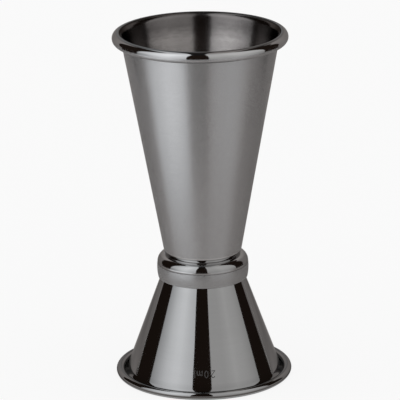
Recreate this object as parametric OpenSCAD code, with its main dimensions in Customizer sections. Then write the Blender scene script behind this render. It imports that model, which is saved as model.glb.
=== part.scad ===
// Double-ended cocktail measure: two spun sheet cups, floor to floor, held in a formed neck collar.
// Millimetres, +Z up. The measure stands on the small cup's rolled rim at z = 0.

/* [Overall] */
// Height over both rims
total_height = 91; // [86:0.5:97]
// Height of the plane where the two cup floors meet
joint_height = 31.1; // [29:0.1:33]
// Thickness of the sheet that both cups are spun from
cup_sheet = 0.7; // [0.5:0.05:0.8]

/* [Large cup] */
// Outer radius of the wall, carried up to the rim plane
large_mouth_radius = 20.4; // [19:0.1:22]
// Outer radius of the wall, carried down to the floor plane
large_floor_radius = 9.55; // [9:0.05:10]
// Outer radius of the bend between floor and wall
large_corner_radius = 3.2; // [2.6:0.1:3.6]
// Radius of the rolled rim's tube
large_bead_radius = 1.45; // [1.2:0.05:1.8]

/* [Small cup] */
// Outer radius of the wall, carried down to the rim plane
small_mouth_radius = 20.45; // [19:0.05:22]
// Outer radius of the wall, carried up to the floor plane
small_floor_radius = 9.1; // [8.6:0.05:9.4]
// Outer radius of the bend between floor and wall
small_corner_radius = 3.2; // [2.6:0.1:3.6]
// Radius of the rolled rim's tube
small_bead_radius = 1.05; // [0.95:0.05:1.3]
// Radius of the mouth's inner edge, where the wall flares out to the rolled rim
small_flare_radius = 2.8; // [2.4:0.1:3.2]

/* [Rolled rims] */
// Slit between the curled edge and the wall that it closes on
curl_gap = 0.08; // [0.05:0.01:0.15]
// Depth of the flat land dressed on the rim that the measure stands on
land_depth = 0.04; // [0.03:0.01:0.06]

/* [Neck collar] */
// Thickness of the collar's sheet
collar_sheet = 0.6; // [0.5:0.05:0.7]
// Reach of the collar up over the large cup's bend, from the floors' meeting plane
collar_rise = 1.4; // [1.2:0.1:1.7]
// Reach of the collar down over the small cup's wall, from the floors' meeting plane
collar_drop = 4.85; // [4:0.05:5.5]
// Radius of the collar's rounded shoulder
shoulder_radius = 2.2; // [1.9:0.1:2.4]
// Height of the band's widest ring above the collar's lip
bulge_height = 2.55; // [2:0.05:2.8]
// Depth of the crease turned between shoulder and band
crease_depth = 0.12; // [0.08:0.01:0.16]
// Width of that crease at the surface
crease_width = 0.3; // [0.2:0.05:0.4]
// Clearance where the collar seats on the two cups
seat_gap = 0.04; // [0.02:0.01:0.1]

/* [Node] */
// Sub-part to build

/* [Hidden] */
$fn = 96;
overrun = 1;
satin_grey = [0.42, 0.41, 0.41];
polished_grey = [0.33, 0.32, 0.32];

// Cups are drawn in their own frame: floor plane at zero, mouth up
large_depth = total_height - joint_height;
small_depth = joint_height;

// A cup is [depth to the rim plane, depth to the roll's crest, wall radius at the floor plane,
// wall radius at the rim plane, corner radius, flare radius, bead radius]
large_cup_sizes = [
    large_depth, large_depth, large_floor_radius, large_mouth_radius,
    large_corner_radius, large_bead_radius, large_bead_radius
];
small_cup_sizes = [
    small_depth, small_depth + land_depth, small_floor_radius, small_mouth_radius,
    small_corner_radius, small_flare_radius, small_bead_radius
];

function rim_plane(cup) = cup[0];
function roll_crest(cup) = cup[1];
function corner_radius(cup) = cup[4];
function flare_radius(cup) = cup[5];
function bead_radius(cup) = cup[6];
function wall_slope(cup) = (cup[3] - cup[2]) / rim_plane(cup);
function wall_lean(cup) = atan(wall_slope(cup));

// Radius of the wall's outer face, or of a face set in from it by a depth square to the wall
function wall_radius(cup, z, inset = 0) = cup[2] + wall_slope(cup) * z - inset / cos(wall_lean(cup));

function corner_centre(cup) = [
    wall_radius(cup, corner_radius(cup), corner_radius(cup)),
    corner_radius(cup)
];

function flare_height(cup) = roll_crest(cup) - flare_radius(cup);

function flare_centre(cup) = [
    wall_radius(cup, flare_height(cup), cup_sheet - flare_radius(cup)),
    flare_height(cup)
];

// Length of the straight wall between the bend and the flare
function wall_length(cup) =
    let (run = flare_centre(cup) - corner_centre(cup))
    run[0] * sin(wall_lean(cup)) + run[1] * cos(wall_lean(cup));

function unit_share(x) = max(-1, min(1, x));

// Angle round the bead at which the curled edge comes within the slit of the straight wall
function curl_end_on_wall(cup) =
    let (step = flare_radius(cup) - bead_radius(cup))
    let (room = flare_radius(cup) - cup_sheet - curl_gap - step * sin(wall_lean(cup)))
    180 - wall_lean(cup) + acos(unit_share(room / bead_radius(cup)));

// The same angle where the edge meets the flare instead, or zero where the rim has no flare
function curl_end_on_flare(cup) =
    let (step = flare_radius(cup) - bead_radius(cup))
    let (room = flare_radius(cup) - cup_sheet - curl_gap)
    step <= 0 ? 0 : 180 - asin(unit_share(
        (room * room - bead_radius(cup) * bead_radius(cup) - step * step) / (2 * bead_radius(cup) * step)
    ));

function curl_end(cup) = max(curl_end_on_wall(cup), curl_end_on_flare(cup));

// Outer radius of the small cup's wall at a height above the base
function small_wall_at(height) = wall_radius(small_cup_sizes, small_depth - height);

// Outer radius of the large cup's bend at a height above the base
function large_bend_at(height) =
    let (centre = corner_centre(large_cup_sizes))
    let (fall = joint_height + centre[1] - height)
    centre[0] + sqrt(large_corner_radius * large_corner_radius - fall * fall);

collar_top = joint_height + collar_rise;
collar_lip = joint_height - collar_drop;
crease_height = collar_top - shoulder_radius;
collar_bore = large_bend_at(collar_top) + seat_gap;
lip_bore = small_wall_at(collar_lip) + seat_gap;
lip_radius = lip_bore + collar_sheet;
bulge_centre = collar_lip + bulge_height;
bulge_radius = norm([lip_radius, bulge_height]);
crease_radius = sqrt(bulge_radius * bulge_radius - pow(crease_height - bulge_centre, 2));
shoulder_centre = crease_radius - shoulder_radius;

// Section of a sheet bent full circle, to be cut to the stretch that is wanted
module bent_sheet(outer_radius) {
    difference() {
        circle(r = outer_radius);
        circle(r = outer_radius - cup_sheet);
    }
}

// Fan that covers the angles from one direction to another, out to a reach
module fan(reach, from_angle, to_angle) {
    steps = ceil((to_angle - from_angle) / 60);
    turn = (to_angle - from_angle) / steps;
    polygon(concat(
        [[0, 0]],
        [for (i = [0:steps]) reach * [cos(from_angle + i * turn), sin(from_angle + i * turn)]]
    ));
}

// Frame on the bend's centre, with x square to the wall and y along it
module along_wall(cup) {
    translate(corner_centre(cup)) rotate(-wall_lean(cup)) children();
}

// Upright frame on the centre of the flare
module at_flare(cup) {
    along_wall(cup)
        translate([corner_radius(cup) - cup_sheet + flare_radius(cup), wall_length(cup)])
        rotate(wall_lean(cup))
        children();
}

// Bend between the floor and the wall
module bend_section(cup) {
    reach = corner_radius(cup) + overrun;
    intersection() {
        translate(corner_centre(cup)) bent_sheet(corner_radius(cup));
        translate(corner_centre(cup)) translate([0, -reach]) square(reach);
        along_wall(cup) translate([0, -reach]) square(reach);
    }
}

// Straight sheet of the wall, from the end of the bend to the start of the flare
module wall_section(cup) {
    along_wall(cup)
        translate([corner_radius(cup) - cup_sheet, 0])
        square([cup_sheet, wall_length(cup)]);
}

// Inner edge of the mouth, where the wall turns out to the crest of the roll
module flare_section(cup) {
    reach = flare_radius(cup) + overrun;
    at_flare(cup) intersection() {
        bent_sheet(flare_radius(cup));
        translate([-reach, 0]) square(reach);
        rotate(-wall_lean(cup)) translate([-reach, 0]) square(reach);
    }
}

// Rest of the roll, from its crest over and under to the edge that closes on the wall
module curl_section(cup) {
    at_flare(cup) translate([0, flare_radius(cup) - bead_radius(cup)]) intersection() {
        bent_sheet(bead_radius(cup));
        fan(2 * bead_radius(cup), curl_end(cup), 450);
    }
}

// Half section of a whole cup, floor plane at zero and mouth up
module cup_section(cup) {
    square([corner_centre(cup)[0], cup_sheet]);
    bend_section(cup);
    wall_section(cup);
    flare_section(cup);
    curl_section(cup);
}

// Solid shape of the collar above the lip, to its outer skin
module collar_outline() {
    intersection() {
        translate([0, bulge_centre]) circle(r = bulge_radius);
        translate([0, collar_lip]) square([2 * bulge_radius, crease_height - collar_lip]);
    }
    translate([shoulder_centre, crease_height]) intersection() {
        circle(r = shoulder_radius);
        square(2 * shoulder_radius);
    }
    translate([0, crease_height]) square([shoulder_centre, shoulder_radius]);
}

// Space inside the collar's sheet
module collar_inside() {
    inner_shoulder = shoulder_radius - collar_sheet;
    polygon([
        [0, collar_lip - overrun],
        [lip_bore, collar_lip - overrun],
        [lip_bore, collar_lip],
        [shoulder_centre + inner_shoulder, crease_height],
        [0, crease_height]
    ]);
    translate([shoulder_centre, crease_height]) intersection() {
        circle(r = inner_shoulder);
        square(2 * inner_shoulder);
    }
    translate([0, crease_height]) square([shoulder_centre, inner_shoulder]);
    translate([0, crease_height]) square([collar_bore, shoulder_radius + overrun]);
}

module crease_cut() {
    polygon([
        [crease_radius - crease_depth, crease_height],
        [crease_radius + crease_depth, crease_height - crease_width],
        [crease_radius + crease_depth, crease_height + crease_width]
    ]);
}

module large_cup() {
    color(satin_grey) translate([0, 0, joint_height]) rotate_extrude() cup_section(large_cup_sizes);
}

// Mouth down, with its roll dressed flat where the measure stands on it
module small_cup() {
    color(polished_grey)
        translate([0, 0, joint_height])
        rotate([180, 0, 0])
        rotate_extrude()
        difference() {
            cup_section(small_cup_sizes);
            translate([0, small_depth]) square([2 * small_mouth_radius, overrun]);
        }
}

module neck_collar() {
    color(polished_grey) rotate_extrude() difference() {
        collar_outline();
        collar_inside();
        crease_cut();
    }
}

large_cup();
small_cup();
neck_collar();
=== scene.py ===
"""Looks of a double-ended cocktail measure: two spun cups, a neck collar and a small studio round them."""
import math

import bpy
from mathutils import Matrix, Vector, noise


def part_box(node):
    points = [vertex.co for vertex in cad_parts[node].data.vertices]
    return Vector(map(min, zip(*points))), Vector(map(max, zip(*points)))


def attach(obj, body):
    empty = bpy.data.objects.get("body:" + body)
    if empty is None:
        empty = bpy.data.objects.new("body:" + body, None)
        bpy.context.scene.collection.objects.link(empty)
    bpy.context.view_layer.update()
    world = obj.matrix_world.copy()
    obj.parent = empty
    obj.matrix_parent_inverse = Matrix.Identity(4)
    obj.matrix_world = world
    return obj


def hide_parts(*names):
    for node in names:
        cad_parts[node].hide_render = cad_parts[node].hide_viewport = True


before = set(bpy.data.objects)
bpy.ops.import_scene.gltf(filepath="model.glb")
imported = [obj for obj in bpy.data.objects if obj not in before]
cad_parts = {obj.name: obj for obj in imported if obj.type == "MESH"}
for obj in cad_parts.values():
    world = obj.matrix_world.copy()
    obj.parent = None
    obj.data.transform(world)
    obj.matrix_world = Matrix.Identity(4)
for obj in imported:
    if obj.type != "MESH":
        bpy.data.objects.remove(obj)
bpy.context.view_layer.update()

MM = 0.001
TURN = 2 * math.pi

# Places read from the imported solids, in metres
joint_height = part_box("large_cup")[0].z
total_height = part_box("large_cup")[1].z
collar_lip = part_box("neck_collar")[0].z
collar_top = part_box("neck_collar")[1].z

# Sheet and joints, as in the solids
cup_sheet = 0.7 * MM
curl_gap = 0.08 * MM
land_depth = 0.04 * MM
collar_sheet = 0.6 * MM
seat_gap = 0.04 * MM

# Neck collar, with its crease lower and finer than in the solids, and its lip's edge rounded
shoulder_radius = 2.2 * MM
bulge_height = 2.55 * MM
crease_depth = 0.04 * MM
crease_width = 0.12 * MM
crease_drop = 0.35 * MM
lip_edge_radius = 0.12 * MM

# Hand spinning and buffing: departure from a true circle, length of its waves, and how close its lobes lie
cup_wander = 0.02 * MM
collar_wander = 0.01 * MM
wander_length = 9 * MM
CUP_LOBES = 1.6
COLLAR_LOBES = 1.2

# Angle round the large roll where its polish gives way to the satin ground, just under the outermost ring
polish_end = math.radians(-4)

# Angle past a roll's crest, into the cup, where its polish gives way to the turned bore
bore_start = math.radians(14)

# Distances into a cup from its crest, along the sheet: where the burnished ring fades, where painted light
# makes the metal lighter against the shade deep in the cup, and how far both wander
burnish_fade = (4.0 * MM, 7.4 * MM)
painted_light_fade = (12.0 * MM, 20.0 * MM)
fade_wander = 0.6 * MM

# Painted shading runs from none to full painted shade in the crevices, and below none it is a painted
# highlight.
# The factors are what each end multiplies the colour by
UNPAINTED = 0
FULL_PAINTED_SHADE = 1
FULL_PAINTED_HIGHLIGHT = -2
PAINTED_SHADE_FACTOR = 0.5
PAINTED_HIGHLIGHT_FACTOR = 2.0

# Reach of the painted shade up the wall from the roll's crevice, and over the roll as a share of its turn to
# the crest
shade_reach = 1.2 * MM
ROLL_SHADE_SHARE = 0.35

# Share of the collar's shoulder, up from the crease, without painted highlight, and the painted highlight
# where it starts
UNHIGHLIGHTED_SHARE = 0.6
FIRST_HIGHLIGHT = -0.6

# Steps of the turned meshes
SEGMENTS = 256
ARC_STEP = math.radians(4)
WALL_RINGS = 44
SOIL_RINGS = 6
FLOOR_RINGS = 7
SHARP_ANGLE = math.radians(38)

# Ranges of a noise that are carried over to a material: the usual one, a narrower one that parts two colours
# more, and a wider one for ridges
NOISE = (0.3, 0.7)
NOISE_MIDDLE = (0.35, 0.65)
NOISE_SWING = (0.2, 0.8)


def arc(centre, radius, start, end):
    """Points on an arc, both ends included, with angles in radians."""
    steps = max(2, math.ceil(abs(end - start) / ARC_STEP))
    angles = [start + (end - start) * i / steps for i in range(steps + 1)]
    return [(centre[0] + radius * math.cos(a), centre[1] + radius * math.sin(a)) for a in angles]


def straight(start, end, steps):
    """Points on a line, packed closer towards both ends so that the shading turns smoothly there."""
    shares = [(1 - math.cos(math.pi * i / steps)) / 2 for i in range(steps + 1)]
    return [tuple(a + (b - a) * share for a, b in zip(start, end)) for share in shares]


def stretch(points, finish, painted_shading=(UNPAINTED, UNPAINTED)):
    """A run of section points with the finish of the faces after them, and the painted shading from start to
    end.
    """
    last = max(1, len(points) - 1)
    return [(r, z, finish, painted_shading[0] + (painted_shading[1] - painted_shading[0]) * i / last) for i, (r, z) in enumerate(points)]


class Cup:
    """A spun cup in its own frame: floor plane at zero, mouth up."""

    def __init__(self, depth, crest, floor_radius, mouth_radius, corner_radius, flare_radius, bead_radius):
        """depth reaches to the rim plane and crest to the top of the roll, both from the floor plane."""
        self.floor_radius = floor_radius
        self.corner_radius = corner_radius
        self.flare_radius = flare_radius
        self.bead_radius = bead_radius
        self.slope = (mouth_radius - floor_radius) / depth
        self.lean = math.atan(self.slope)
        self.corner = (self.wall(corner_radius, corner_radius), corner_radius)
        self.flare = (self.wall(crest - flare_radius, cup_sheet - flare_radius), crest - flare_radius)
        self.bead = (self.flare[0], crest - bead_radius)
        self.curl_end = self.closing_angle()

    def wall(self, z, inset=0.0):
        """Radius of the wall's outer face, or of a face set in from it by a depth square to the wall."""
        return self.floor_radius + self.slope * z - inset / math.cos(self.lean)

    def closing_angle(self):
        """Angle round the roll at which the curled edge comes within the slit of the wall or flare."""
        step = self.flare_radius - self.bead_radius
        room = self.flare_radius - cup_sheet - curl_gap
        share = (room - step * math.sin(self.lean)) / self.bead_radius
        on_wall = math.pi - self.lean + math.acos(min(1.0, share))
        if step <= 0:
            return on_wall
        reach = (room**2 - self.bead_radius**2 - step**2) / (2 * self.bead_radius * step)
        return max(on_wall, math.pi - math.asin(reach))

    def section(
        self, wall_finish, bend_finish, roll_finish,
        flare_shade, crevice_shade, foot_shading=UNPAINTED, polish_from=None
    ):
        """The closed outline of the sheet, from the axis under the floor to the axis inside the cup.

        The painted shading is given where the flare starts, in the roll's crevice and where the bend leaves
        the floor.
        polish_from is the angle round the roll where the wall's finish ends, and is left out where the whole
        roll is polished."""
        crest = math.pi / 2
        tangent = math.pi - self.lean
        curl = self.curl_end - TURN
        split = curl if polish_from is None else polish_from
        shade_end = split + ROLL_SHADE_SHARE * (crest - split)
        foot = arc(self.corner, self.corner_radius, -math.pi / 2, -self.lean)
        back = arc(self.flare, self.flare_radius - cup_sheet, tangent, crest)
        inner_curl = arc(self.bead, self.bead_radius - cup_sheet, crest, curl)
        under = arc(self.bead, self.bead_radius, curl, split)[:-1] if split > curl else []
        over = arc(self.bead, self.bead_radius, split, shade_end)
        top = arc(self.bead, self.bead_radius, shade_end, crest)
        lip = arc(self.flare, self.flare_radius, crest, crest + bore_start)
        front = arc(self.flare, self.flare_radius, crest + bore_start, tangent)
        inner_foot = arc(self.corner, self.corner_radius - cup_sheet, -self.lean, -math.pi / 2)
        unshaded_share = 1 - shade_reach / math.dist(foot[-1], back[0])
        shade_start = tuple(a + (b - a) * unshaded_share for a, b in zip(foot[-1], back[0]))
        return (
            stretch(straight((0, 0), foot[0], FLOOR_RINGS)[:-1], bend_finish)
            + stretch(foot[:-1], bend_finish, (foot_shading, UNPAINTED))
            + stretch(straight(foot[-1], shade_start, WALL_RINGS)[:-1], wall_finish)
            + stretch(straight(shade_start, back[0], SOIL_RINGS)[:-1], wall_finish, (UNPAINTED, flare_shade))
            + stretch(back[:-1], roll_finish, (flare_shade, crevice_shade))
            + stretch(inner_curl, roll_finish, (crevice_shade, crevice_shade))
            + stretch(under, wall_finish, (flare_shade, UNPAINTED))
            + stretch(over[:-1], roll_finish, (UNPAINTED if under else flare_shade, UNPAINTED))
            + stretch(top[:-1], roll_finish)
            + stretch(lip[:-1], roll_finish)
            + stretch(front[:-1], "bore")
            + stretch(straight(front[-1], inner_foot[0], WALL_RINGS)[:-1], "bore")
            + stretch(inner_foot[:-1], "bore")
            + stretch(straight(inner_foot[-1], (0, cup_sheet), FLOOR_RINGS), "bore")
        )


# The two cups, with the sizes of the solids
large = Cup(
    depth=total_height - joint_height,
    crest=total_height - joint_height,
    floor_radius=9.55 * MM,
    mouth_radius=20.4 * MM,
    corner_radius=3.2 * MM,
    flare_radius=1.45 * MM,
    bead_radius=1.45 * MM,
)
small = Cup(
    depth=joint_height,
    crest=joint_height + land_depth,
    floor_radius=9.1 * MM,
    mouth_radius=20.45 * MM,
    corner_radius=3.2 * MM,
    flare_radius=2.8 * MM,
    bead_radius=1.05 * MM,
)


def collar_section():
    """The closed outline of the collar's sheet: up the outside from the lip, over the shoulder and down."""
    fall = joint_height + large.corner[1] - collar_top
    bore = large.corner[0] + math.sqrt(large.corner_radius**2 - fall**2) + seat_gap
    lip_bore = small.wall(joint_height - collar_lip) + seat_gap
    bulge = (0, collar_lip + bulge_height)
    bulge_radius = math.hypot(lip_bore + collar_sheet, bulge_height)
    shoulder_foot = collar_top - shoulder_radius
    band_radius = math.sqrt(bulge_radius**2 - (shoulder_foot - bulge[1]) ** 2)
    shoulder = (band_radius - shoulder_radius, shoulder_foot)
    inner_radius = shoulder_radius - collar_sheet
    crease = shoulder_foot - crease_drop
    crease_foot = crease - crease_width / 2
    crease_head = crease + crease_width / 2
    edge_head = collar_lip + lip_edge_radius
    lip_turn = math.asin((edge_head - bulge[1]) / bulge_radius)
    crease_turn = math.asin((crease_foot - bulge[1]) / bulge_radius)
    top_turn = math.acos((bore - shoulder[0]) / shoulder_radius)
    highlight_turn = UNHIGHLIGHTED_SHARE * top_turn
    inner_turn = math.acos((bore - shoulder[0]) / inner_radius)
    band = arc(bulge, bulge_radius, lip_turn, crease_turn)
    edge = arc((band[0][0] - lip_edge_radius, edge_head), lip_edge_radius, -math.pi / 2, 0)
    half_shade = (UNPAINTED + FULL_PAINTED_SHADE) / 2
    # Painted shade under the lip's edge, in the crease, on the inside and in the bore; painted highlight on
    # the shoulder's top by the groove
    return (
        stretch(edge[:-1], "collar_band", (FULL_PAINTED_SHADE, UNPAINTED))
        + stretch(band, "collar_band")
        + stretch([(band_radius - crease_depth, crease)], "collar_shoulder", (FULL_PAINTED_SHADE, FULL_PAINTED_SHADE))
        + stretch([(band_radius, crease_head)], "collar_shoulder")
        + stretch(arc(shoulder, shoulder_radius, 0, highlight_turn)[:-1], "collar_shoulder")
        + stretch(arc(shoulder, shoulder_radius, highlight_turn, top_turn), "collar_shoulder", (FIRST_HIGHLIGHT, FULL_PAINTED_HIGHLIGHT))
        + stretch(arc(shoulder, inner_radius, inner_turn, 0), "collar_shoulder", (half_shade, FULL_PAINTED_SHADE))
        + stretch([(lip_bore, edge_head), (lip_bore, collar_lip)], "collar_shoulder", (FULL_PAINTED_SHADE, FULL_PAINTED_SHADE))
    )


def signed_volume(mesh):
    """Volume that the faces enclose, below zero where they face inward."""
    total = 0.0
    for face in mesh.polygons:
        corners = [mesh.vertices[i].co for i in face.vertices]
        for a, b in zip(corners[1:], corners[2:]):
            total += corners[0].dot(a.cross(b))
    return total / 6


def closed_mesh(name, points, faces):
    """A mesh of faces that close round a solid, turned to face outward."""
    mesh = bpy.data.meshes.new(name)
    mesh.from_pydata(points, [], faces)
    mesh.validate()
    if signed_volume(mesh) < 0:
        mesh.flip_normals()
    return mesh


def placed(name, data):
    """A new object of the scene, round a mesh or a camera."""
    thing = bpy.data.objects.new(name, data)
    bpy.context.scene.collection.objects.link(thing)
    return thing


def hand_work(angle, height, wander, lobes):
    """Small radial departure from a true circle that spinning and buffing by hand leave, in metres."""
    place = Vector((lobes * math.cos(angle), lobes * math.sin(angle), height / wander_length))
    return wander * noise.noise(place)


def lengths_from_crest(section):
    """Length along the sheet from the section's highest point to each point, below zero before it."""
    along = [0.0]
    for (r0, z0, *_), (r1, z1, *_) in zip(section, section[1:]):
        along.append(along[-1] + math.hypot(r1 - r0, z1 - z0))
    crest = max(range(len(section)), key=lambda i: section[i][1])
    return [way - along[crest] for way in along]


def faces_between(first, second):
    """Faces between two rings of point numbers, where a ring on the axis has one number."""
    faces = []
    for k in range(SEGMENTS):
        j = (k + 1) % SEGMENTS
        if len(first) == 1:
            faces.append((first[0], second[j], second[k]))
        elif len(second) == 1:
            faces.append((first[k], first[j], second[0]))
        else:
            faces.append((first[k], first[j], second[j], second[k]))
    return faces


def turned(name, section, place, looks, wander, lobes):
    """A piece turned from a section about the Z axis, closed on itself where it starts off the axis.

    place gives a section point's radius and height, and looks the material of each finish. The spin attribute
    holds the direction from the axis and the length from the crest, and painted_shading the painted shade and
    painted highlight that the section gives."""
    points = []
    spins = []
    painted_shadings = []
    rings = []
    for (r, z, _, painted_shading), way in zip(section, lengths_from_crest(section)):
        radius, height = place(r, z)
        count = SEGMENTS if r > 0 else 1
        rings.append(range(len(points), len(points) + count))
        for k in range(count):
            angle = TURN * k / SEGMENTS
            wide = radius + (hand_work(angle, height, wander, lobes) if r > 0 else 0.0)
            points.append((wide * math.cos(angle), wide * math.sin(angle), height))
            spins += [math.cos(angle), math.sin(angle), way]
            painted_shadings.append(painted_shading)
    pairs = list(zip(section, rings, rings[1:]))
    if section[0][0] > 0:
        pairs.append((section[-1], rings[-1], rings[0]))
    faces = []
    slots = []
    for (_, _, finish, _), first, second in pairs:
        faces += faces_between(first, second)
        slots += [list(looks).index(finish)] * SEGMENTS
    mesh = closed_mesh(name, points, faces)
    mesh.polygons.foreach_set("material_index", slots)
    mesh.polygons.foreach_set("use_smooth", [True] * len(faces))
    mesh.attributes.new("spin", "FLOAT_VECTOR", "POINT").data.foreach_set("vector", spins)
    mesh.attributes.new("painted_shading", "FLOAT", "POINT").data.foreach_set("value", painted_shadings)
    for material in looks.values():
        mesh.materials.append(material)
    mesh.set_sharp_from_angle(angle=SHARP_ANGLE)
    return placed(name, mesh)


class Shader:
    """A small helper that adds nodes to a material and joins them."""

    def __init__(self, name):
        self.material = bpy.data.materials.new(name)
        self.material.use_nodes = True
        self.tree = self.material.node_tree
        self.tree.nodes.clear()
        self.output = self.tree.nodes.new("ShaderNodeOutputMaterial")

    def add(self, kind, **settings):
        """A new node with its settings."""
        node = self.tree.nodes.new(kind)
        for key, value in settings.items():
            setattr(node, key, value)
        return node

    def join(self, source, target):
        """Links one socket to another."""
        self.tree.links.new(source, target)

    def show(self, surface):
        """Makes a shader the surface of the material."""
        self.join(surface, self.output.inputs["Surface"])

    def attribute(self, name):
        """The outputs of a node that reads an attribute of the mesh."""
        return self.add("ShaderNodeAttribute", attribute_name=name).outputs

    def stretched(self, source, scale):
        """A position with each of its axes scaled."""
        mapping = self.add("ShaderNodeMapping")
        mapping.inputs["Scale"].default_value = scale
        self.join(source, mapping.inputs["Vector"])
        return mapping.outputs["Vector"]

    def noise(self, vector, scale=1.0, detail=3.0, rough=0.55):
        """A noise over a position."""
        node = self.add("ShaderNodeTexNoise")
        node.inputs["Scale"].default_value = scale
        node.inputs["Detail"].default_value = detail
        node.inputs["Roughness"].default_value = rough
        self.join(vector, node.inputs["Vector"])
        return node.outputs["Fac"]

    def spread(self, source, before, after):
        """A value carried from one range to another, held at its ends."""
        node = self.add("ShaderNodeMapRange")
        for name, value in zip(("From Min", "From Max", "To Min", "To Max"), (*before, *after)):
            node.inputs[name].default_value = value
        self.join(source, node.inputs["Value"])
        return node.outputs["Result"]

    def two_tone(self, share, dark, light):
        """A colour between two, by a share from 0 to 1."""
        node = self.add("ShaderNodeMix", data_type="RGBA")
        node.inputs["A"].default_value = (*dark, 1)
        node.inputs["B"].default_value = (*light, 1)
        self.join(share, node.inputs["Factor"])
        return node.outputs["Result"]

    def math(self, operation, a, b):
        """The result of an operation on two values, each a socket or a plain number."""
        node = self.add("ShaderNodeMath", operation=operation)
        for socket, value in zip(node.inputs, (a, b)):
            if isinstance(value, (int, float)):
                socket.default_value = value
            else:
                self.join(value, socket)
        return node.outputs["Value"]

    def mixed(self, a, b, share):
        """Two values mixed, with the second one's share."""
        return self.math("ADD", self.math("MULTIPLY", a, 1 - share), self.math("MULTIPLY", b, share))

    def vector(self, operation, *sources):
        """The result of a vector operation."""
        node = self.add("ShaderNodeVectorMath", operation=operation)
        for socket, source in zip(node.inputs, sources):
            self.join(source, socket)
        return node.outputs["Vector"]

    def times(self, vector, factor):
        """A vector or colour times a value."""
        node = self.add("ShaderNodeVectorMath", operation="SCALE")
        self.join(vector, node.inputs[0])
        self.join(factor, node.inputs["Scale"])
        return node.outputs["Vector"]


class Metal(Shader):
    """Gunmetal sheet: two tones, a roughness that varies, relief, painted shade in the crevices and painted
    highlights on some edges.
    """

    def __init__(self, name, edge_tint):
        super().__init__(name)
        self.shader = self.add("ShaderNodeBsdfPrincipled")
        self.shader.inputs["Metallic"].default_value = 1.0
        self.shader.inputs["Specular Tint"].default_value = (edge_tint, edge_tint, edge_tint, 1)
        self.spin = self.attribute("spin")["Vector"]
        self.painted_shading = self.attribute("painted_shading")["Fac"]
        self.show(self.shader.outputs["BSDF"])

    def turned_lines(self, pitch):
        """Lines round the axis, as a tool leaves them on a turning sheet, drifting a little on the way."""
        drift = 0.9
        return self.noise(self.stretched(self.spin, (drift, drift, 1 / pitch)), detail=5.0, rough=0.7)

    def clouds(self, count, length, detail=4.0):
        """Soft patches, so many round the axis and so long along the sheet."""
        around = count / TURN
        return self.noise(self.stretched(self.spin, (around, around, 1 / length)), detail=detail)

    def colour(self, pattern, dark, light, shade=None):
        """Two tones by a pattern, times the painted shade and painted highlight of the mesh, and times a
        shade if given.
        """
        # Above zero the painted shading darkens the colour as painted shade, below zero it brightens it as a
        # painted highlight
        keep = self.spread(self.painted_shading, (FULL_PAINTED_HIGHLIGHT, FULL_PAINTED_SHADE), (PAINTED_HIGHLIGHT_FACTOR, PAINTED_SHADE_FACTOR))
        if shade is not None:
            keep = self.math("MULTIPLY", keep, shade)
        tones = self.two_tone(self.spread(pattern, NOISE_MIDDLE, (0.0, 1.0)), dark, light)
        self.join(self.times(tones, keep), self.shader.inputs["Base Color"])

    def roughness(self, pattern, low, high):
        """A roughness that follows a pattern from low to high."""
        self.join(self.spread(pattern, NOISE, (low, high)), self.shader.inputs["Roughness"])

    def relief(self, pattern, depth):
        """A bump of a real depth that follows a pattern."""
        bump = self.add("ShaderNodeBump")
        bump.inputs["Distance"].default_value = depth
        self.join(pattern, bump.inputs["Height"])
        self.join(bump.outputs["Normal"], self.shader.inputs["Normal"])

    def ridged(self, count, pitch, slope, lean):
        """Fine turned ridges: the face tips along the sheet, by at most a slope either side of a lean."""
        facing = self.add("ShaderNodeNewGeometry").outputs["Normal"]
        around = self.add("ShaderNodeTangent", direction_type="RADIAL", axis="Z").outputs["Tangent"]
        along = self.vector("CROSS_PRODUCT", facing, around)
        ripple = self.spread(self.clouds(count, pitch, detail=1.0), NOISE_SWING, (-slope, slope))
        tip = self.math("ADD", ripple, lean)
        tipped = self.vector("ADD", facing, self.times(along, tip))
        self.join(self.vector("NORMALIZE", tipped), self.shader.inputs["Normal"])


def polished(name, dark, light, edge_tint):
    """Mirror polish with a faint haze that varies in soft patches and fine buffing lines."""
    metal = Metal(name, edge_tint)
    haze = metal.clouds(count=5, length=9 * MM)
    lines = metal.turned_lines(pitch=0.6 * MM)
    metal.colour(metal.mixed(haze, lines, share=0.3), dark, light)
    metal.roughness(metal.mixed(haze, lines, share=0.4), low=0.03, high=0.085)
    metal.relief(lines, depth=0.0002 * MM)
    return metal.material


def satin(name, dark, light, edge_tint, speck_level, speck_shade):
    """Smooth ground under fine blasted specks, with faint streaks up and down the wall.

    speck_level is the noise above which a speck shows, and speck_shade its brightness against the ground."""
    speck_edge = 0.02
    speck_roughness = 0.52
    ground_roughness = (0.2, 0.24)
    metal = Metal(name, edge_tint)
    streaks = metal.clouds(count=70, length=45 * MM)
    patches = metal.clouds(count=14, length=7 * MM)
    grain = metal.clouds(count=420, length=0.3 * MM)
    blasted = metal.clouds(count=1900, length=0.05 * MM, detail=0.0)
    specks = metal.spread(blasted, (speck_level - speck_edge, speck_level + speck_edge), (0.0, 1.0))
    ground = metal.mixed(metal.mixed(streaks, patches, share=0.45), grain, share=0.3)
    metal.colour(ground, dark, light, metal.spread(specks, (0.0, 1.0), (1.0, speck_shade)))
    smooth = metal.spread(ground, NOISE, ground_roughness)
    rough = metal.math("MULTIPLY", specks, speck_roughness)
    metal.join(metal.math("ADD", smooth, rough), metal.shader.inputs["Roughness"])
    metal.relief(grain, depth=0.0008 * MM)
    return metal.material


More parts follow.
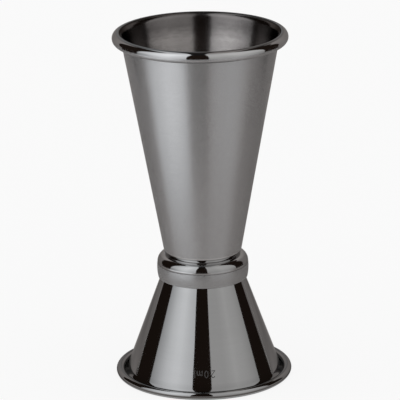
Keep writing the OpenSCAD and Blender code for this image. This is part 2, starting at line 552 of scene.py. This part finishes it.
def spun_bore(name, dark, light, edge_tint):
    """Inside of a cup: turned ridges, burnished darker below the rim, and painted lighter deep down against
    the shade inside the cup.

    The ridges lean so that they take light from above, and less so where they are burnished."""
    burnished_shade = 0.62
    deep_painted_light = 2.0
    burnished_lean = -0.05
    open_lean = -0.15
    metal = Metal(name, edge_tint)
    lines = metal.turned_lines(pitch=0.28 * MM)
    patches = metal.clouds(count=60, length=1.1 * MM)
    wear = metal.mixed(lines, patches, share=0.5)
    way = metal.add("ShaderNodeSeparateXYZ")
    metal.join(metal.spin, way.inputs["Vector"])
    place = metal.math("ADD", way.outputs["Z"], metal.spread(wear, NOISE, (-fade_wander, fade_wander)))
    ring = metal.spread(place, burnish_fade, (burnished_shade, 1.0))
    # Painted light: the colour is raised deep in the cup, against the shade there
    deep_light = metal.spread(place, painted_light_fade, (1.0, deep_painted_light))
    metal.colour(wear, dark, light, metal.math("MULTIPLY", ring, deep_light))
    metal.roughness(wear, low=0.15, high=0.19)
    lean = metal.spread(place, burnish_fade, (burnished_lean, open_lean))
    metal.ridged(count=260, pitch=0.012 * MM, slope=0.14, lean=lean)
    return metal.material


def etched():
    """Dark frosted metal of the etched strokes."""
    look = Shader("etched_mark")
    shader = look.add("ShaderNodeBsdfPrincipled")
    shader.inputs["Metallic"].default_value = 1.0
    grain = look.noise(look.add("ShaderNodeTexCoord").outputs["Object"], scale=9000.0)
    tones = look.two_tone(grain, dark=(0.06, 0.058, 0.056), light=(0.11, 0.107, 0.105))
    look.join(tones, shader.inputs["Base Color"])
    look.join(look.spread(grain, NOISE, (0.5, 0.62)), shader.inputs["Roughness"])
    look.show(shader.outputs["BSDF"])
    return look.material


POLISH_DARK = (0.272, 0.27, 0.268)
POLISH_LIGHT = (0.288, 0.286, 0.284)
FINISHES = {
    "satin": satin(
        "satin_gunmetal", dark=(0.292, 0.29, 0.289), light=(0.312, 0.31, 0.309),
        edge_tint=0.6, speck_level=0.55, speck_shade=1.25,
    ),
    "roll": polished("polished_rim", dark=(0.355, 0.352, 0.35), light=(0.38, 0.377, 0.375), edge_tint=0.5),
    "mirror": polished("polished_gunmetal", POLISH_DARK, POLISH_LIGHT, edge_tint=0.5),
    "bore": spun_bore("turned_bore", dark=(0.196, 0.184, 0.178), light=(0.228, 0.214, 0.208), edge_tint=0.25),
    "collar_band": satin(
        "collar_band", dark=(0.288, 0.286, 0.284), light=(0.304, 0.302, 0.3),
        edge_tint=0.6, speck_level=0.47, speck_shade=1.1,
    ),
    "collar_shoulder": polished("collar_polish", POLISH_DARK, POLISH_LIGHT, edge_tint=0.5),
}


def pick(*names):
    """The materials of some finishes, by name."""
    return {name: FINISHES[name] for name in names}


def dress(piece, node):
    """Puts a finished piece in the place of the solid that it shows."""
    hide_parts(node)
    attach(piece, "root")


def large_cup():
    """Satin wall between a polished bend and a polished roll, and a turned bore."""
    # The bend above the collar gets a painted highlight, and the roll's crevice a faint painted shade
    section = large.section(
        wall_finish="satin", bend_finish="roll", roll_finish="roll",
        flare_shade=UNPAINTED, crevice_shade=0.1, foot_shading=FULL_PAINTED_HIGHLIGHT, polish_from=polish_end
    )
    looks = pick("satin", "roll", "bore")
    piece = turned(
        "spun_large_cup", section, lambda r, z: (r, joint_height + z), looks, cup_wander, CUP_LOBES
    )
    dress(piece, "large_cup")


def small_cup():
    """Mirror polish outside and a turned bore, mouth down, with the land dressed flat on the floor."""
    # The flare and the roll's crevice get painted shade
    section = small.section(
        wall_finish="mirror", bend_finish="mirror", roll_finish="mirror", flare_shade=0.2, crevice_shade=0.8
    )
    looks = pick("mirror", "bore")
    piece = turned(
        "spun_small_cup", section, lambda r, z: (r, joint_height - min(z, joint_height)), looks,
        cup_wander, CUP_LOBES
    )
    dress(piece, "small_cup")


def neck_collar():
    """Satin band under a polished shoulder."""
    looks = pick("collar_band", "collar_shoulder")
    piece = turned("formed_collar", collar_section(), lambda r, z: (r, z), looks, collar_wander, COLLAR_LOBES)
    dress(piece, "neck_collar")


# Capacity mark by the small cup's mouth: how far it stands off the wall, and its base line's height
mark_relief = 0.012 * MM
mark_base = 6.5 * MM

# Strokes of the mark, in millimetres: across, then up from the base line
mark_height = 1.9
mark_stroke = 0.2
letter_height = 1.27
digit_half_width = 0.42
two_middle = -2.3
two_left = -2.71
two_right = -1.87
nought_middle = -0.57
first_stem = 0.52
last_stem = 2.42
arch_half_width = 0.32
arch_rise = 0.3

# Least cosine that a corner's mitre is drawn for, so that a sharp corner isn't drawn out to a spike
MITRE_LIMIT = 0.5


def loop(centre, half_width, half_height, start, end, steps):
    """Points on an ellipse, with angles in degrees from the right, counting up and over."""
    angles = [math.radians(start + (end - start) * i / steps) for i in range(steps + 1)]
    return [(centre[0] + half_width * math.cos(a), centre[1] + half_height * math.sin(a)) for a in angles]


def mark_strokes():
    """Centre lines of a 20 and of the letters for millilitres, each a run of points and whether it closes."""
    half = mark_stroke / 2
    top = mark_height - half
    middle = mark_height / 2
    arch_foot = letter_height - half - arch_rise
    bow_centre = (two_middle, top - digit_half_width)
    bow = loop(bow_centre, digit_half_width, digit_half_width, start=160, end=-40, steps=12)
    nought = loop((nought_middle, middle), digit_half_width, top - middle, start=90, end=450, steps=28)
    strokes = [
        (bow + [(two_left, half), (two_right, half)], False),
        (nought[:-1], True),
        ([(first_stem, 0), (first_stem, letter_height)], False),
    ]
    for centre in (first_stem + arch_half_width, first_stem + 3 * arch_half_width):
        arch = loop((centre, arch_foot), arch_half_width, arch_rise, start=180, end=0, steps=8)
        strokes.append((arch + [(centre + arch_half_width, 0)], False))
    strokes.append(([(last_stem, 0), (last_stem, mark_height)], False))
    return strokes


def left_of(start, end):
    """Unit vector square to the way from one point to another, to its left."""
    way = Vector((end[0] - start[0], end[1] - start[1])).normalized()
    return Vector((-way.y, way.x))


def ribbon(line, closed):
    """Left and right edges of a stroke along its centre line, mitred at the corners."""
    edges = []
    for i, here in enumerate(line):
        sides = []
        if closed or i > 0:
            sides.append(left_of(line[i - 1], here))
        if closed or i < len(line) - 1:
            sides.append(left_of(here, line[(i + 1) % len(line)]))
        side = sum(sides, Vector((0, 0))).normalized()
        reach = mark_stroke / 2 / max(MITRE_LIMIT, side.dot(sides[0]))
        edges.append((Vector(here) + side * reach, Vector(here) - side * reach))
    return edges


def ribbon_faces(start, count, closed):
    """Faces of a ribbon with four corners at each point of its line, with end caps where it is open."""
    faces = []
    for i in range(count if closed else count - 1):
        a = start + 4 * i
        b = start + 4 * ((i + 1) % count)
        faces += [(a + k, a + (k + 1) % 4, b + (k + 1) % 4, b + k) for k in range(4)]
    if not closed:
        end = start + 4 * (count - 1)
        faces.append((start + 3, start + 2, start + 1, start))
        faces.append((end, end + 1, end + 2, end + 3))
    return faces


def on_cone(point, lift):
    """A point of the mark on the small cup's wall, read with its mouth up, and lifted off the metal."""
    height = mark_base - point[1] * MM * math.cos(small.lean)
    radius = small.wall(joint_height - height) + lift / math.cos(small.lean)
    angle = -point[0] * MM / radius
    return radius * math.sin(angle), -radius * math.cos(angle), height


def capacity_mark():
    """Etched strokes, each a thin closed ribbon that follows the wall."""
    points = []
    faces = []
    for line, closed in mark_strokes():
        faces += ribbon_faces(len(points), len(line), closed)
        for left, right in ribbon(line, closed):
            points += [on_cone(left, mark_relief), on_cone(right, mark_relief)]
            points += [on_cone(right, -mark_relief), on_cone(left, -mark_relief)]
    mark = placed("capacity_mark", closed_mesh("capacity_mark", points, faces))
    mark.data.materials.append(etched())
    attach(mark, "root")


# Bearings that the parts of the studio span, in degrees round the object, with 0 towards the camera and more
# to its right
LEFT = (-88, -17.5)
FRONT = (-17.5, 11)
RIGHT = (11, 90)
SIDE_LEFT = (-120, -88)
SIDE_RIGHT = (90, 119)
BACK_LEFT = (-180, -120)
BACK_RIGHT = (119, 180)
TOP_LEFT = (-180, -88)
TOP_RIGHT = (90, 180)
FLAG_LEFT = (-143, -119)
FLAG_RIGHT = (118, 143)
ALL_ROUND = (-180, 180)

# Elevations of the dome's foot and top in degrees, and the one whose light the cards on the floor take
FOOT = -2.0
ZENITH = 90
CARD_RISE = -5

# Radii of the dome, of what stands nearer and of the sweep's two edges, and the cards' height off the floor
STUDIO_RADIUS = 1.2
NEARER = 0.98 * STUDIO_RADIUS
SWEEP_INNER = 22.9 * MM
SWEEP_RADIUS = 190 * MM
CARD_LIFT = 0.3 * MM

# Steps of the studio's meshes, and the width of a column in degrees
COLUMN_WIDTH = 2
PANEL_ROWS = 12
CARD_ROWS = 20
STRIP_ROWS = 40
STRIP_COLUMNS = 4

# Dark seam from front to back along each side of the tent: rise over run, and half its width in degrees
SEAM_SLOPE = 2
SEAM_HALF_WIDTH = 4

# Bearing from which the lower edges of the side flags slant up
SLANT_START = 120

# Colours of the light
NEUTRAL = (1.0, 1.0, 1.0)
COOL = (0.975, 1.0, 1.03)
WARM = (1.05, 0.985, 0.96)
BLACK = (0.025, 0.017, 0.013)

# Strength of the light by bearing
LEFT_TONES = ((-88, 1.1), (-75, 1.32), (-63, 1.62), (-50, 1.82), (-42, 1.82), (-30, 1.56), (-17, 1.32))
RIGHT_TONES = ((11, 0.89), (33, 0.9), (45, 0.99), (51, 1.06), (58, 1.01), (75, 0.96), (88, 0.9))
BACK_TONES = ((118, 0.34), (128, 0.44), (140, 0.5), (180, 0.52))
TOP_LEFT_TONES = ((-180, 0.5), (-160, 0.7), (-145, 0.95), (-126, 1.0), (-110, 1.2), (-88, 1.4))
TOP_RIGHT_TONES = ((90, 0.76), (105, 0.58), (120, 0.46), (150, 0.38), (180, 0.42))
SEAM_TONES = ((119, 0.02), (152, 0.02), (170, 0.45))

# Share of it by elevation, at the two side lights and at the top, and the strength of the strip overhead
RISE_TONES = ((-25, 0.74), (0, 0.88), (20, 1.0), (40, 1.1), (58, 1.08), (72, 0.84), (90, 0.74))
TOP_RISE_TONES = ((16, 1.0), (30, 0.45), (46, 0.45), (58, 1.0))
STRIP_TONES = ((90, 0.018), (140, 0.07))

# Share of it that is left low down, by bearing, and how much that counts, by elevation
LOW_SIDE_TONES = ((-88, 0.6), (-68, 0.85), (-52, 1.0), (50, 1.0), (70, 0.93), (90, 0.75))
LOW_FADE = ((4, 1.0), (14, 0.0))

# Strength of the sweep by bearing, far from the object and near it
FAR_TONES = (
    (-180, 0.42), (-98, 0.42), (-82, 1.6), (-50, 2.3), (-28, 1.9), (-16, 0.3),
    (9, 0.25), (20, 0.9), (50, 1.05), (66, 0.95), (86, 0.42), (180, 0.42),
)
NEAR_TONES = (
    (-180, 0.5), (-98, 0.5), (-80, 0.75), (-50, 0.88), (-28, 0.85), (-10, 0.68),
    (9, 0.62), (20, 0.72), (50, 0.76), (66, 0.72), (86, 0.5), (180, 0.5),
)

# Share of the far strength by radius, share of all of it right beside the object as a painted contact shadow,
# and coolness by strength
FAR_FADE = ((64 * MM, 0.0), (125 * MM, 1.0))
CONTACT_SHADOW_FADE = ((23 * MM, 0.35), (27 * MM, 0.6), (34 * MM, 1.0))
COOL_FADE = ((0.5, 0.0), (1.2, 1.0))


def bearing(angle, rise=0.0):
    """Unit vector of a bearing and an elevation, both in degrees."""
    a = math.radians(angle)
    e = math.radians(rise)
    return Vector((math.sin(a) * math.cos(e), -math.cos(a) * math.cos(e), math.sin(e)))


def bearings_between(left, right):
    """Bearings of a patch's columns, both edges included."""
    columns = max(2, round((right - left) / COLUMN_WIDTH))
    return [left + (right - left) * i / columns for i in range(columns + 1)]


def tone(steps, at):
    """A value read between listed steps, each a place and a value, and held past the ends."""
    for (x0, y0), (x1, y1) in zip(steps, steps[1:]):
        if at <= x1:
            share = max(0.0, (at - x0) / (x1 - x0))
            return y0 + (y1 - y0) * share
    return steps[-1][1]


def tinted(tint, strength):
    """A tint at a strength."""
    return tuple(channel * strength for channel in tint)


def seam_height(angle):
    """Elevation of the tent's dark seam, as seen from inside."""
    return math.degrees(math.atan(SEAM_SLOPE * abs(math.sin(math.radians(angle)))))


def seam_foot(angle):
    """Elevation of the seam's lower edge."""
    return seam_height(angle) - SEAM_HALF_WIDTH


def seam_head(angle):
    """Elevation of the seam's upper edge."""
    return seam_height(angle) + SEAM_HALF_WIDTH


def slanted_foot(angle, slope, start, limit):
    """Elevation of a side flag's lower edge, which slants up by bearing from a start to a limit."""
    return max(FOOT, min(limit, slope * (abs(angle) - SLANT_START) + start))


def left_foot(angle):
    """Lower edge of the left side flag, which runs up to the seam."""
    return slanted_foot(angle, slope=2.6, start=-14, limit=seam_height(angle))


def right_foot(angle):
    """Lower edge of the right side flag, which is steeper."""
    return slanted_foot(angle, slope=9, start=-1, limit=38)


def low_side(angle, rise):
    """Share of the light that is left low down, where each light fades towards its outer side."""
    return 1 - tone(LOW_FADE, rise) * (1 - tone(LOW_SIDE_TONES, angle))


def left_light(angle, rise):
    """The strong cool light at the left."""
    return tinted(COOL, tone(LEFT_TONES, angle) * tone(RISE_TONES, rise) * low_side(angle, rise))


def right_light(angle, rise):
    """The weaker light at the right."""
    return tinted(NEUTRAL, tone(RIGHT_TONES, angle) * tone(RISE_TONES, rise) * low_side(angle, rise))


def back_wall(angle, _):
    """The warm wall behind the object."""
    return tinted(WARM, tone(BACK_TONES, abs(angle)))


def top_left(angle, rise):
    """The tent's top at the left, over the seam."""
    return tinted(COOL, tone(TOP_LEFT_TONES, angle) * tone(TOP_RISE_TONES, rise))


def top_right(angle, rise):
    """The tent's top at the right, over the seam."""
    return tinted(WARM, tone(TOP_RIGHT_TONES, angle) * tone(TOP_RISE_TONES, rise))


def seam(angle, _):
    """The dark seam, which pales towards the back."""
    return tinted(WARM, tone(SEAM_TONES, abs(angle)))


def strip(_, over):
    """The dark strip overhead, a little paler towards the back."""
    return tinted(WARM, tone(STRIP_TONES, over))


def black(*_):
    """The black flags."""
    return BLACK


def left_card(angle, _):
    """The left light's foot on the floor."""
    return left_light(angle, CARD_RISE)


def right_card(angle, _):
    """The right light's foot on the floor."""
    return right_light(angle, CARD_RISE)


def sweep(angle, radius):
    """Light that the floor round the object gives back to the metal, cooler where it is stronger, with the
    object's contact shadow painted in beside it.
    """
    far = tone(FAR_FADE, radius)
    strength = tone(NEAR_TONES, angle) * (1 - far) + tone(FAR_TONES, angle) * far
    # Painted contact shadow of the object on the floor
    strength *= tone(CONTACT_SHADOW_FADE, radius)
    cool = tone(COOL_FADE, strength)
    return tinted([warm * (1 - cool) + cold * cool for warm, cold in zip(WARM, COOL)], strength)


def glow_material():
    """Even light whose colour and strength each point of the mesh carries."""
    look = Shader("studio_glow")
    light = look.add("ShaderNodeEmission")
    look.join(look.attribute("glow")["Color"], light.inputs["Color"])
    look.show(light.outputs["Emission"])
    return look.material


studio_glow = glow_material()


def studio_patch(name, grid, glow):
    """A curved panel or a flat card of the studio, seen in reflections alone.

    grid has rows of points, each with the two values that glow takes to give its light."""
    wide = len(grid[0])
    faces = [
        (j * wide + i, j * wide + i + 1, (j + 1) * wide + i + 1, (j + 1) * wide + i)
        for j in range(len(grid) - 1)
        for i in range(wide - 1)
    ]
    mesh = bpy.data.meshes.new(name)
    mesh.from_pydata([place for row in grid for place, _ in row], [], faces)
    colours = [(*glow(*key), 1.0) for row in grid for _, key in row]
    layer = mesh.attributes.new("glow", "FLOAT_COLOR", "POINT")
    layer.data.foreach_set("color", [channel for colour in colours for channel in colour])
    mesh.materials.append(studio_glow)
    patch = placed(name, mesh)
    patch.visible_camera = False
    patch.visible_shadow = False
    patch.visible_diffuse = False


def panel(name, span, low, high, glow, radius=STUDIO_RADIUS):
    """A patch of the studio's dome. low and high are elevations, or functions of the bearing."""
    middle = Vector((0, 0, total_height / 2))
    lowest = low if callable(low) else lambda angle: low
    highest = high if callable(high) else lambda angle: high
    grid = []
    for j in range(PANEL_ROWS + 1):
        row = []
        for angle in bearings_between(*span):
            rise = lowest(angle) + (highest(angle) - lowest(angle)) * j / PANEL_ROWS
            row.append((middle + radius * bearing(angle, rise), (angle, rise)))
        grid.append(row)
    studio_patch(name, grid, glow)


def card(name, span, inner, outer, glow):
    """A patch just over the floor, from one radius to another."""
    lift = Vector((0, 0, CARD_LIFT))
    grid = []
    for j in range(CARD_ROWS + 1):
        radius = inner * (outer / inner) ** (j / CARD_ROWS)
        grid.append([(radius * bearing(angle) + lift, (angle, radius)) for angle in bearings_between(*span)])
    studio_patch(name, grid, glow)


def overhead_strip(left, right, front, back):
    """The dark gap between the two lights, over the top from an elevation in front to one at the back.

    left and right are its edges, as shares of the radius that it stands at."""
    middle = Vector((0, 0, total_height / 2))
    grid = []
    for i in range(STRIP_ROWS + 1):
        over = front + (180 - back - front) * i / STRIP_ROWS
        rise = math.radians(over)
        row = []
        for j in range(STRIP_COLUMNS + 1):
            x = left + (right - left) * j / STRIP_COLUMNS
            across = math.sqrt(1 - x**2)
            way = Vector((x, -across * math.cos(rise), across * math.sin(rise)))
            row.append((middle + NEARER * way, (x, over)))
        grid.append(row)
    studio_patch("strip_overhead", grid, strip)


def dome():
    """Lights, flags, back wall, seam and top of the tent round the object."""
    panel("light_left", LEFT, FOOT, ZENITH, left_light)
    panel("light_right", RIGHT, FOOT, ZENITH, right_light)
    panel("flag_front", FRONT, FOOT, ZENITH, black)
    panel("flag_left", SIDE_LEFT, FOOT, seam_head, black)
    panel("flag_right", SIDE_RIGHT, FOOT, seam_head, black)
    panel("wall_back_left", BACK_LEFT, FOOT, seam_foot, back_wall)
    panel("wall_back_right", BACK_RIGHT, FOOT, seam_foot, back_wall)
    panel("seam_left", BACK_LEFT, seam_foot, seam_head, seam)
    panel("seam_right", BACK_RIGHT, seam_foot, seam_head, seam)
    panel("top_left", TOP_LEFT, seam_head, ZENITH, top_left)
    panel("top_right", TOP_RIGHT, seam_head, ZENITH, top_right)


def nearer_pieces():
    """What stands in front of the dome: the side flags' slanted edges and the strip overhead."""
    panel("flag_left_side", FLAG_LEFT, left_foot, seam_height, black, NEARER)
    panel("flag_right_side", FLAG_RIGHT, right_foot, seam_height, black, NEARER)
    overhead_strip(left=-0.13, right=0.07, front=60, back=42)


def floor_cards():
    """The same lights and flags on the floor, out to the dome, and the sweep between them and the object."""
    parts = {
        "left": (LEFT, left_card),
        "right": (RIGHT, right_card),
        "front": (FRONT, black),
        "side_left": (SIDE_LEFT, black),
        "side_right": (SIDE_RIGHT, black),
        "back_left": (BACK_LEFT, back_wall),
        "back_right": (BACK_RIGHT, back_wall),
    }
    for name, (span, glow) in parts.items():
        card("card_" + name, span, SWEEP_RADIUS, STUDIO_RADIUS, glow)
    card("sweep", ALL_ROUND, SWEEP_INNER, SWEEP_RADIUS, sweep)


def pale_material():
    """Pale ground that shows nearly white, directly and in the metal, still with the object's shadow."""
    white_share = 0.86
    look = Shader("pale_floor")
    diffuse = look.add("ShaderNodeBsdfDiffuse")
    spots = look.noise(look.add("ShaderNodeTexCoord").outputs["Object"], scale=9.0)
    tones = look.two_tone(spots, dark=(0.82, 0.82, 0.82), light=(0.84, 0.84, 0.84))
    look.join(tones, diffuse.inputs["Color"])
    white = look.add("ShaderNodeEmission")
    path = look.add("ShaderNodeLightPath").outputs
    shown = look.math("ADD", path["Is Camera Ray"], path["Is Glossy Ray"])
    shown = look.math("ADD", shown, path["Is Transmission Ray"])
    mix = look.add("ShaderNodeMixShader")
    look.join(look.math("MULTIPLY", shown, white_share), mix.inputs["Fac"])
    look.join(diffuse.outputs["BSDF"], mix.inputs[1])
    look.join(white.outputs["Emission"], mix.inputs[2])
    look.show(mix.outputs["Shader"])
    return look.material


def pale_floor():
    """A square floor, far wider than the studio."""
    reach = 4.0
    mesh = bpy.data.meshes.new("floor")
    corners = [(-reach, -reach, 0), (reach, -reach, 0), (reach, reach, 0), (-reach, reach, 0)]
    mesh.from_pydata(corners, [], [(0, 1, 2, 3)])
    mesh.materials.append(pale_material())
    floor = placed("floor", mesh)


def white_surround():
    """Plain white world, at the level at which a colour renders as it is written."""
    world = bpy.data.worlds.new("surround")
    bpy.context.scene.world = world
    world.use_nodes = True
    tree = world.node_tree
    tree.nodes.clear()
    background = tree.nodes.new("ShaderNodeBackground")
    background.inputs["Strength"].default_value = 1.0
    output = tree.nodes.new("ShaderNodeOutputWorld")
    tree.links.new(background.outputs["Background"], output.inputs["Surface"])


def photo_camera():
    """The photograph's viewpoint: far off, a little above, on a long lens, with a slight roll."""
    distance = 802.56 * MM
    height = 293.91 * MM
    pitch = math.radians(17.138)
    yaw = math.radians(0.038)
    roll = math.radians(-0.71)
    frame_width = 400
    focal_pixels = 3276.55
    sensor = 36.0
    data = bpy.data.cameras.new("camera")
    data.sensor_width = sensor
    data.lens = focal_pixels / frame_width * sensor
    data.clip_start = 0.01
    data.clip_end = 20.0
    camera = placed("camera", data)
    aim = Matrix.Rotation(yaw, 4, "Z") @ Matrix.Rotation(math.pi / 2 - pitch, 4, "X")
    camera.matrix_world = Matrix.Translation((0, -distance, height)) @ aim @ Matrix.Rotation(roll, 4, "Z")
    bpy.context.scene.camera = camera


large_cup()
small_cup()
neck_collar()
capacity_mark()
dome()
nearer_pieces()
floor_cards()
pale_floor()
white_surround()
photo_camera()
bpy.context.scene.view_settings.view_transform = "Standard"
